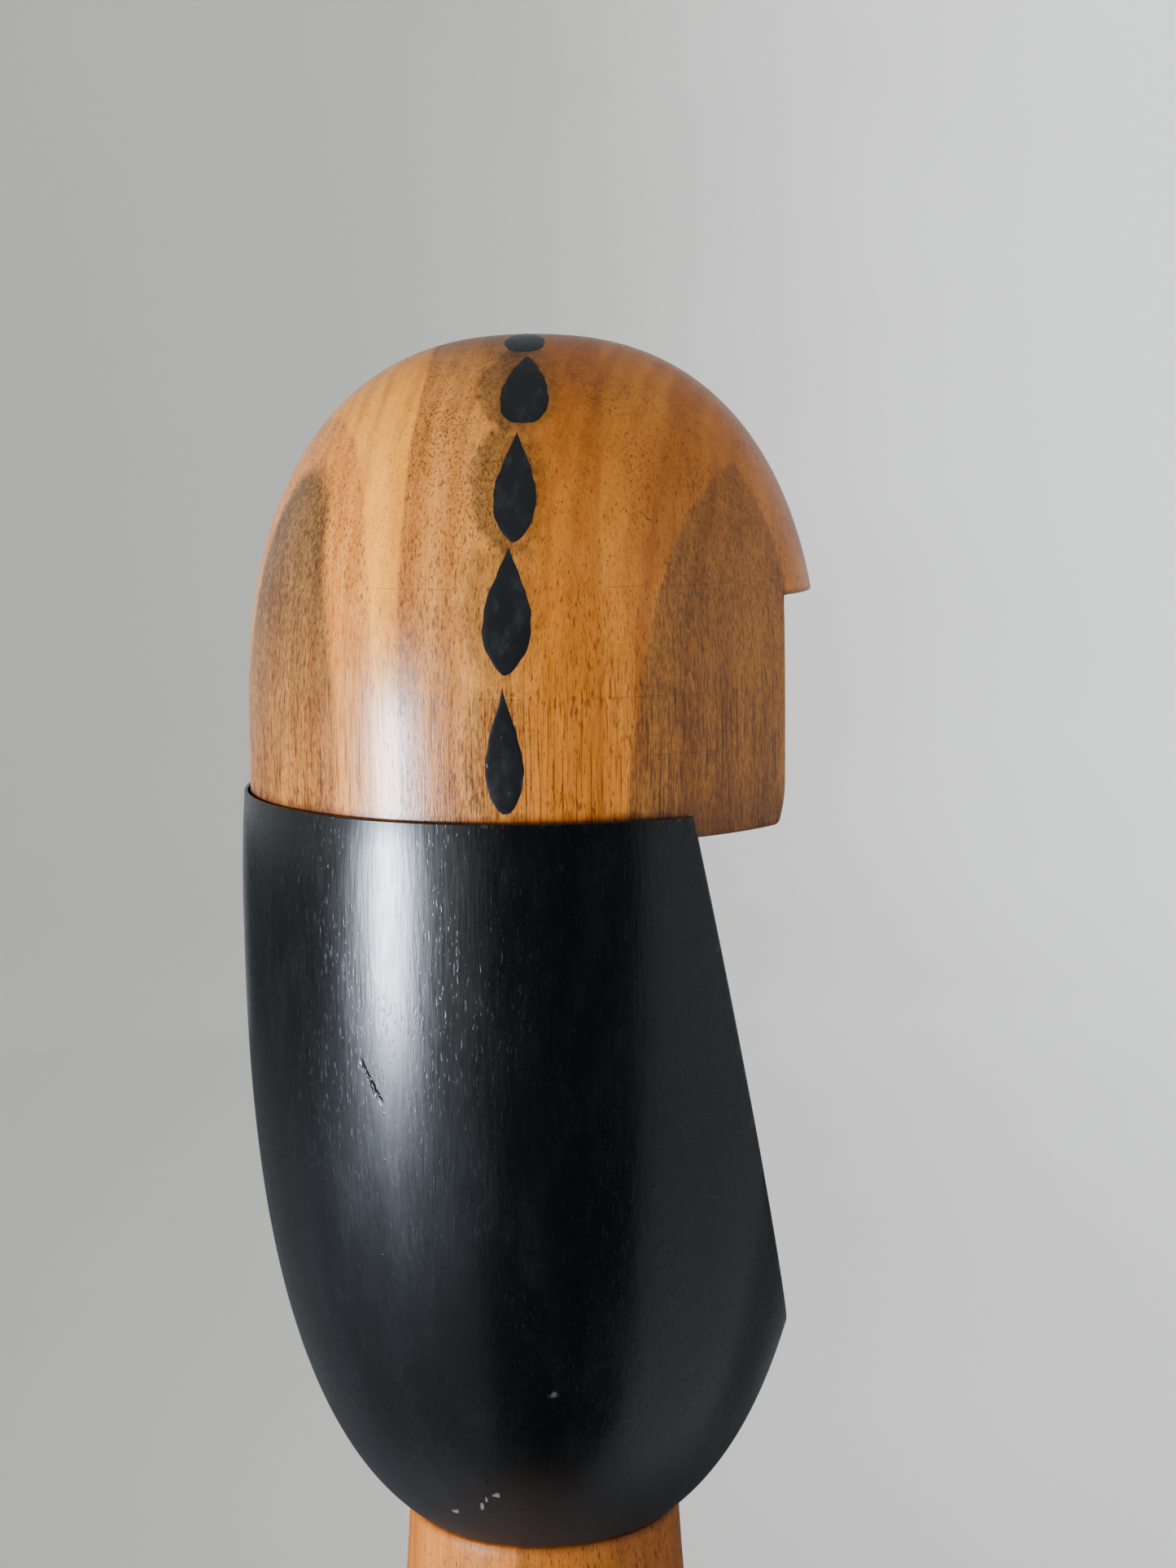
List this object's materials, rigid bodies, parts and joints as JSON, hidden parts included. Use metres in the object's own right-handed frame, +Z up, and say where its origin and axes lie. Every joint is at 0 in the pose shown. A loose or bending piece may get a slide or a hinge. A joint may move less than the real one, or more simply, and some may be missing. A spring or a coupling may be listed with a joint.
{
  "type": "turned wooden doll",
  "caption": "Turned wooden doll: honey-coloured head that turns on a peg in a recess, tall black body with a slanted flat front, and a bell-shaped natural foot.",
  "frame": {"origin": "on the turning axis, at the foot's flat underside", "axes": "+Z up along the turning axis, the doll faces -Y, +X is to its own left"},
  "size_m": [0.0812, 0.0784, 0.238],
  "materials": {
    "honey_wood": "satin clear lacquer",
    "foot_wood": "satin clear lacquer",
    "black_wood": "satin black stain and lacquer",
    "pale_wood": "bare",
    "dowel_wood": "bare"
  },
  "bodies": {
    "stand": {"body": "black_wood", "foot": "foot_wood", "neck_peg": "pale_wood", "waist_dowel": "dowel_wood"},
    "head": {"head": "honey_wood"}
  },
  "joints": [
    {"name": "head_turn", "type": "hinge", "parent": "stand", "child": "head", "pos_m": [0, 0, 0.1772], "axis": [0, 0, 1], "continuous": true}
  ]
}
